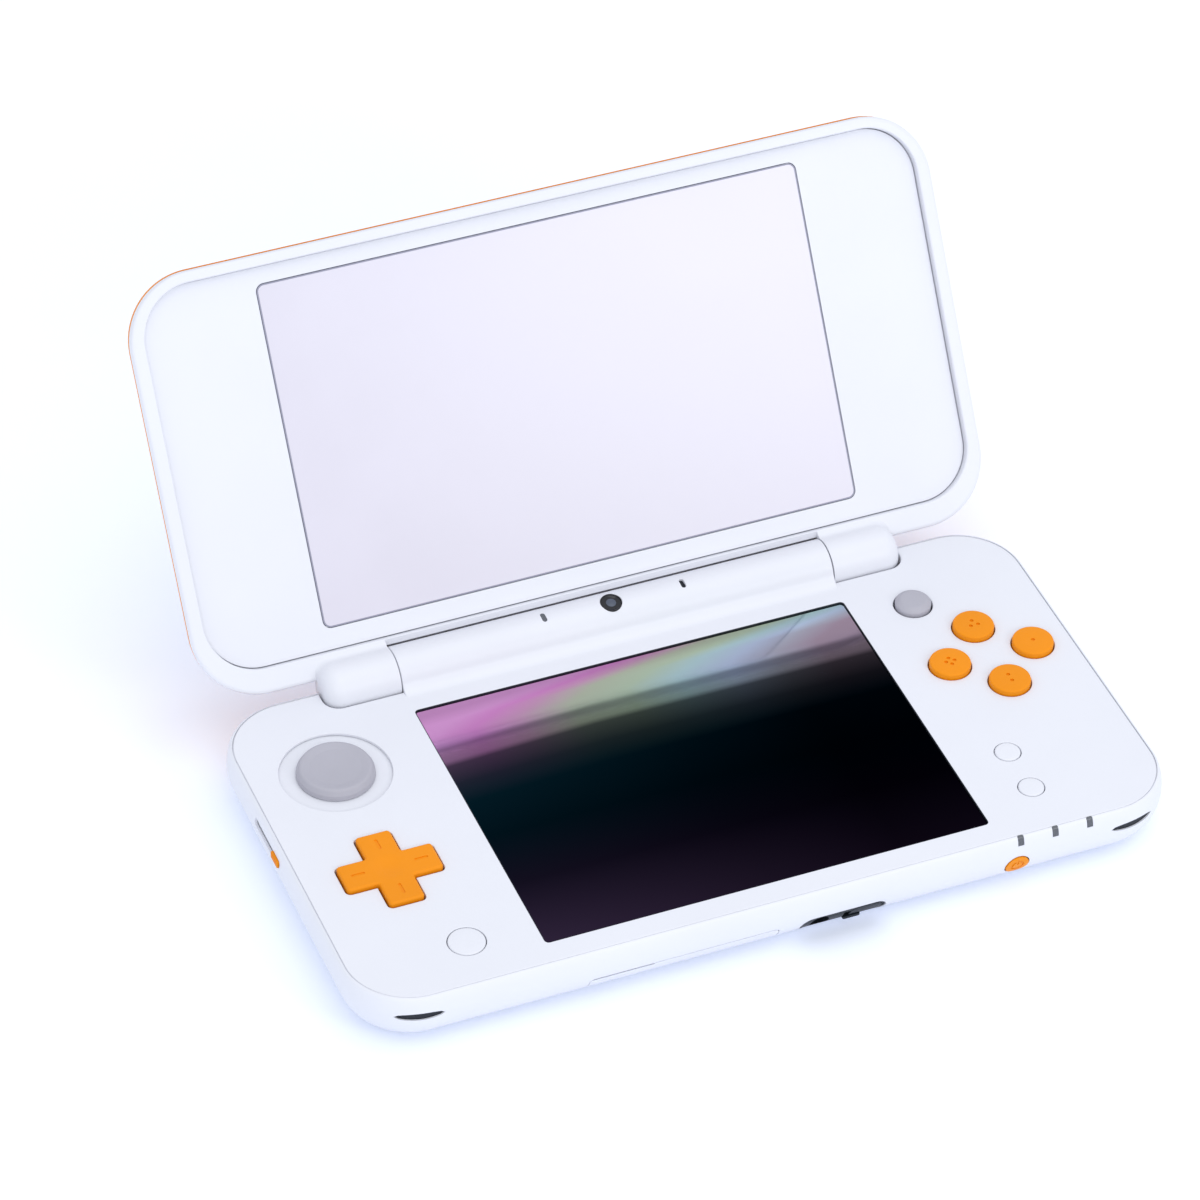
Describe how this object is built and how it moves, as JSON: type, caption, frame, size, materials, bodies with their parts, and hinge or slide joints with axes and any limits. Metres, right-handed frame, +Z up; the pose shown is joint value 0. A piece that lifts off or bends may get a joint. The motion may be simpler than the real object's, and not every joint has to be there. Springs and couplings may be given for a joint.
{
  "type": "handheld lcd game",
  "caption": "Two-screen clamshell handheld electronic game with a friction-hinged lid, sliding thumb pad, direction pad, push buttons, shoulder buttons and a stylus.",
  "frame": {"origin": "on the flat underside, straight below the middle of the lower screen", "axes": "+X to the player's right along the hinge, +Y from the player towards the hinge, +Z up; the lid stands open 123 degrees from closed"},
  "size_m": [0.1597, 0.1311, 0.0797],
  "materials": {
    "shell_white": "satin white moulded plastic",
    "accent_orange": "satin orange moulded plastic",
    "control_grey": "soft-touch light grey plastic",
    "dark_plastic": "fine-textured near-black plastic",
    "black_glass": "polished black window",
    "pale_glass": "polished pale lavender screen window",
    "plated_steel": "plated sheet steel",
    "board_green": "green solder mask on glass-fibre board",
    "membrane_rubber": "translucent grey silicone rubber"
  },
  "bodies": {
    "base": {"lower_case": "shell_white", "face_plate": "shell_white", "touch_screen": "black_glass", "lower_display": "plated_steel", "circle_pad_module": "dark_plastic", "port_insert": "dark_plastic", "headphone_jack": "dark_plastic", "stylus_silo": "dark_plastic", "card_slot_housing": "plated_steel", "memory_card_reader": "plated_steel", "charging_inlet": "dark_plastic", "infrared_window": "black_glass", "status_light_1": "dark_plastic", "status_light_2": "dark_plastic", "status_light_3": "dark_plastic", "mainboard": "board_green", "battery": "dark_plastic", "key_membrane_left": "membrane_rubber", "key_membrane_right": "membrane_rubber", "speaker_left": "dark_plastic", "speaker_right": "dark_plastic", "case_screw_1": "plated_steel", "case_screw_2": "plated_steel", "case_screw_3": "plated_steel", "case_screw_4": "plated_steel", "outer_camera_1": "black_glass", "outer_camera_2": "black_glass", "hinge_pin_left": "plated_steel", "hinge_clutch": "plated_steel", "inner_camera": "black_glass", "notice_light": "dark_plastic"},
    "lid": {"lid_inner_frame": "shell_white", "lid_trim": "accent_orange", "lid_cover": "shell_white", "upper_panel": "shell_white", "upper_screen": "pale_glass", "upper_display": "plated_steel"},
    "pad_carriage": {"circle_pad_carriage": "control_grey"},
    "circle_pad": {"circle_pad_skirt": "shell_white", "circle_pad_cap": "control_grey"},
    "direction_rocker": {"direction_pivot": "control_grey"},
    "direction_pad": {"direction_pad": "accent_orange"},
    "nub_base": {"nub_stem": "dark_plastic"},
    "pointing_nub": {"pointing_nub": "control_grey"},
    "button_north": {"button_north": "accent_orange"},
    "button_east": {"button_east": "accent_orange"},
    "button_south": {"button_south": "accent_orange"},
    "button_west": {"button_west": "accent_orange"},
    "home_button": {"home_button": "shell_white"},
    "start_button": {"start_button": "shell_white"},
    "select_button": {"select_button": "shell_white"},
    "power_button": {"power_button": "accent_orange"},
    "volume_slider": {"volume_slider": "accent_orange"},
    "shoulder_button_left": {"shoulder_button_left": "accent_orange"},
    "shoulder_button_right": {"shoulder_button_right": "accent_orange"},
    "trigger_button_left": {"trigger_button_left": "accent_orange"},
    "trigger_button_right": {"trigger_button_right": "accent_orange"},
    "stylus": {"stylus": "dark_plastic"},
    "card_flap": {"card_flap": "shell_white"}
  },
  "joints": [
    {"name": "lid_hinge", "type": "hinge", "parent": "base", "child": "lid", "pos_m": [0, 0.0433, 0.01235], "axis": [-1, 0, 0], "range_deg": [-123.3, 31]},
    {"name": "circle_pad_across", "type": "slide", "parent": "base", "child": "pad_carriage", "axis": [1, 0, 0], "range_m": [-0.0016, 0.0016], "stiffness_N_per_m": 300},
    {"name": "circle_pad_along", "type": "slide", "parent": "pad_carriage", "child": "circle_pad", "axis": [0, 1, 0], "range_m": [-0.0016, 0.0016], "stiffness_N_per_m": 300},
    {"name": "direction_pad_rock", "type": "hinge", "parent": "base", "child": "direction_rocker", "pos_m": [-0.0625, -0.0052, 0.0112], "axis": [1, 0, 0], "range_deg": [-4, 4], "stiffness_Nm_per_rad": 0.1},
    {"name": "direction_pad_roll", "type": "hinge", "parent": "direction_rocker", "child": "direction_pad", "pos_m": [-0.0625, -0.0052, 0.0112], "axis": [0, 1, 0], "range_deg": [-4, 4], "stiffness_Nm_per_rad": 0.1},
    {"name": "pointing_nub_rock", "type": "hinge", "parent": "base", "child": "nub_base", "pos_m": [0.05465, 0.02695, 0.0102], "axis": [1, 0, 0], "range_deg": [-4, 4], "stiffness_Nm_per_rad": 0.05},
    {"name": "pointing_nub_roll", "type": "hinge", "parent": "nub_base", "child": "pointing_nub", "pos_m": [0.05465, 0.02695, 0.0102], "axis": [0, 1, 0], "range_deg": [-4, 4], "stiffness_Nm_per_rad": 0.05},
    {"name": "button_north_press", "type": "slide", "parent": "base", "child": "button_north", "axis": [0, 0, -1], "range_m": [0, 0.0009], "stiffness_N_per_m": 400},
    {"name": "button_east_press", "type": "slide", "parent": "base", "child": "button_east", "axis": [0, 0, -1], "range_m": [0, 0.0009], "stiffness_N_per_m": 400},
    {"name": "button_south_press", "type": "slide", "parent": "base", "child": "button_south", "axis": [0, 0, -1], "range_m": [0, 0.0009], "stiffness_N_per_m": 400},
    {"name": "button_west_press", "type": "slide", "parent": "base", "child": "button_west", "axis": [0, 0, -1], "range_m": [0, 0.0009], "stiffness_N_per_m": 400},
    {"name": "home_press", "type": "slide", "parent": "base", "child": "home_button", "axis": [0, 0, -1], "range_m": [0, 0.0005], "stiffness_N_per_m": 500},
    {"name": "start_press", "type": "slide", "parent": "base", "child": "start_button", "axis": [0, 0, -1], "range_m": [0, 0.0005], "stiffness_N_per_m": 500},
    {"name": "select_press", "type": "slide", "parent": "base", "child": "select_button", "axis": [0, 0, -1], "range_m": [0, 0.0005], "stiffness_N_per_m": 500},
    {"name": "power_press", "type": "slide", "parent": "base", "child": "power_button", "axis": [0, 1, 0], "range_m": [0, 0.0005], "stiffness_N_per_m": 600},
    {"name": "volume_slide", "type": "slide", "parent": "base", "child": "volume_slider", "axis": [0, 1, 0], "range_m": [0, 0.009]},
    {"name": "shoulder_left_press", "type": "hinge", "parent": "base", "child": "shoulder_button_left", "pos_m": [-0.0768, 0.0387, 0.0078], "axis": [0, 0, -1], "range_deg": [0, 2.5], "stiffness_Nm_per_rad": 0.4},
    {"name": "trigger_left_press", "type": "slide", "parent": "base", "child": "trigger_button_left", "axis": [0, -1, 0], "range_m": [0, 0.0008], "stiffness_N_per_m": 600},
    {"name": "shoulder_right_press", "type": "hinge", "parent": "base", "child": "shoulder_button_right", "pos_m": [0.0768, 0.0387, 0.0078], "axis": [0, 0, 1], "range_deg": [0, 2.5], "stiffness_Nm_per_rad": 0.4},
    {"name": "trigger_right_press", "type": "slide", "parent": "base", "child": "trigger_button_right", "axis": [0, -1, 0], "range_m": [0, 0.0008], "stiffness_N_per_m": 600},
    {"name": "stylus_draw", "type": "slide", "parent": "base", "child": "stylus", "axis": [0, -1, 0], "range_m": [0, 0.072]},
    {"name": "card_flap_hinge", "type": "hinge", "parent": "base", "child": "card_flap", "pos_m": [-0.01885, -0.0348, 0.0014], "axis": [1, 0, 0], "range_deg": [0, 70]}
  ]
}
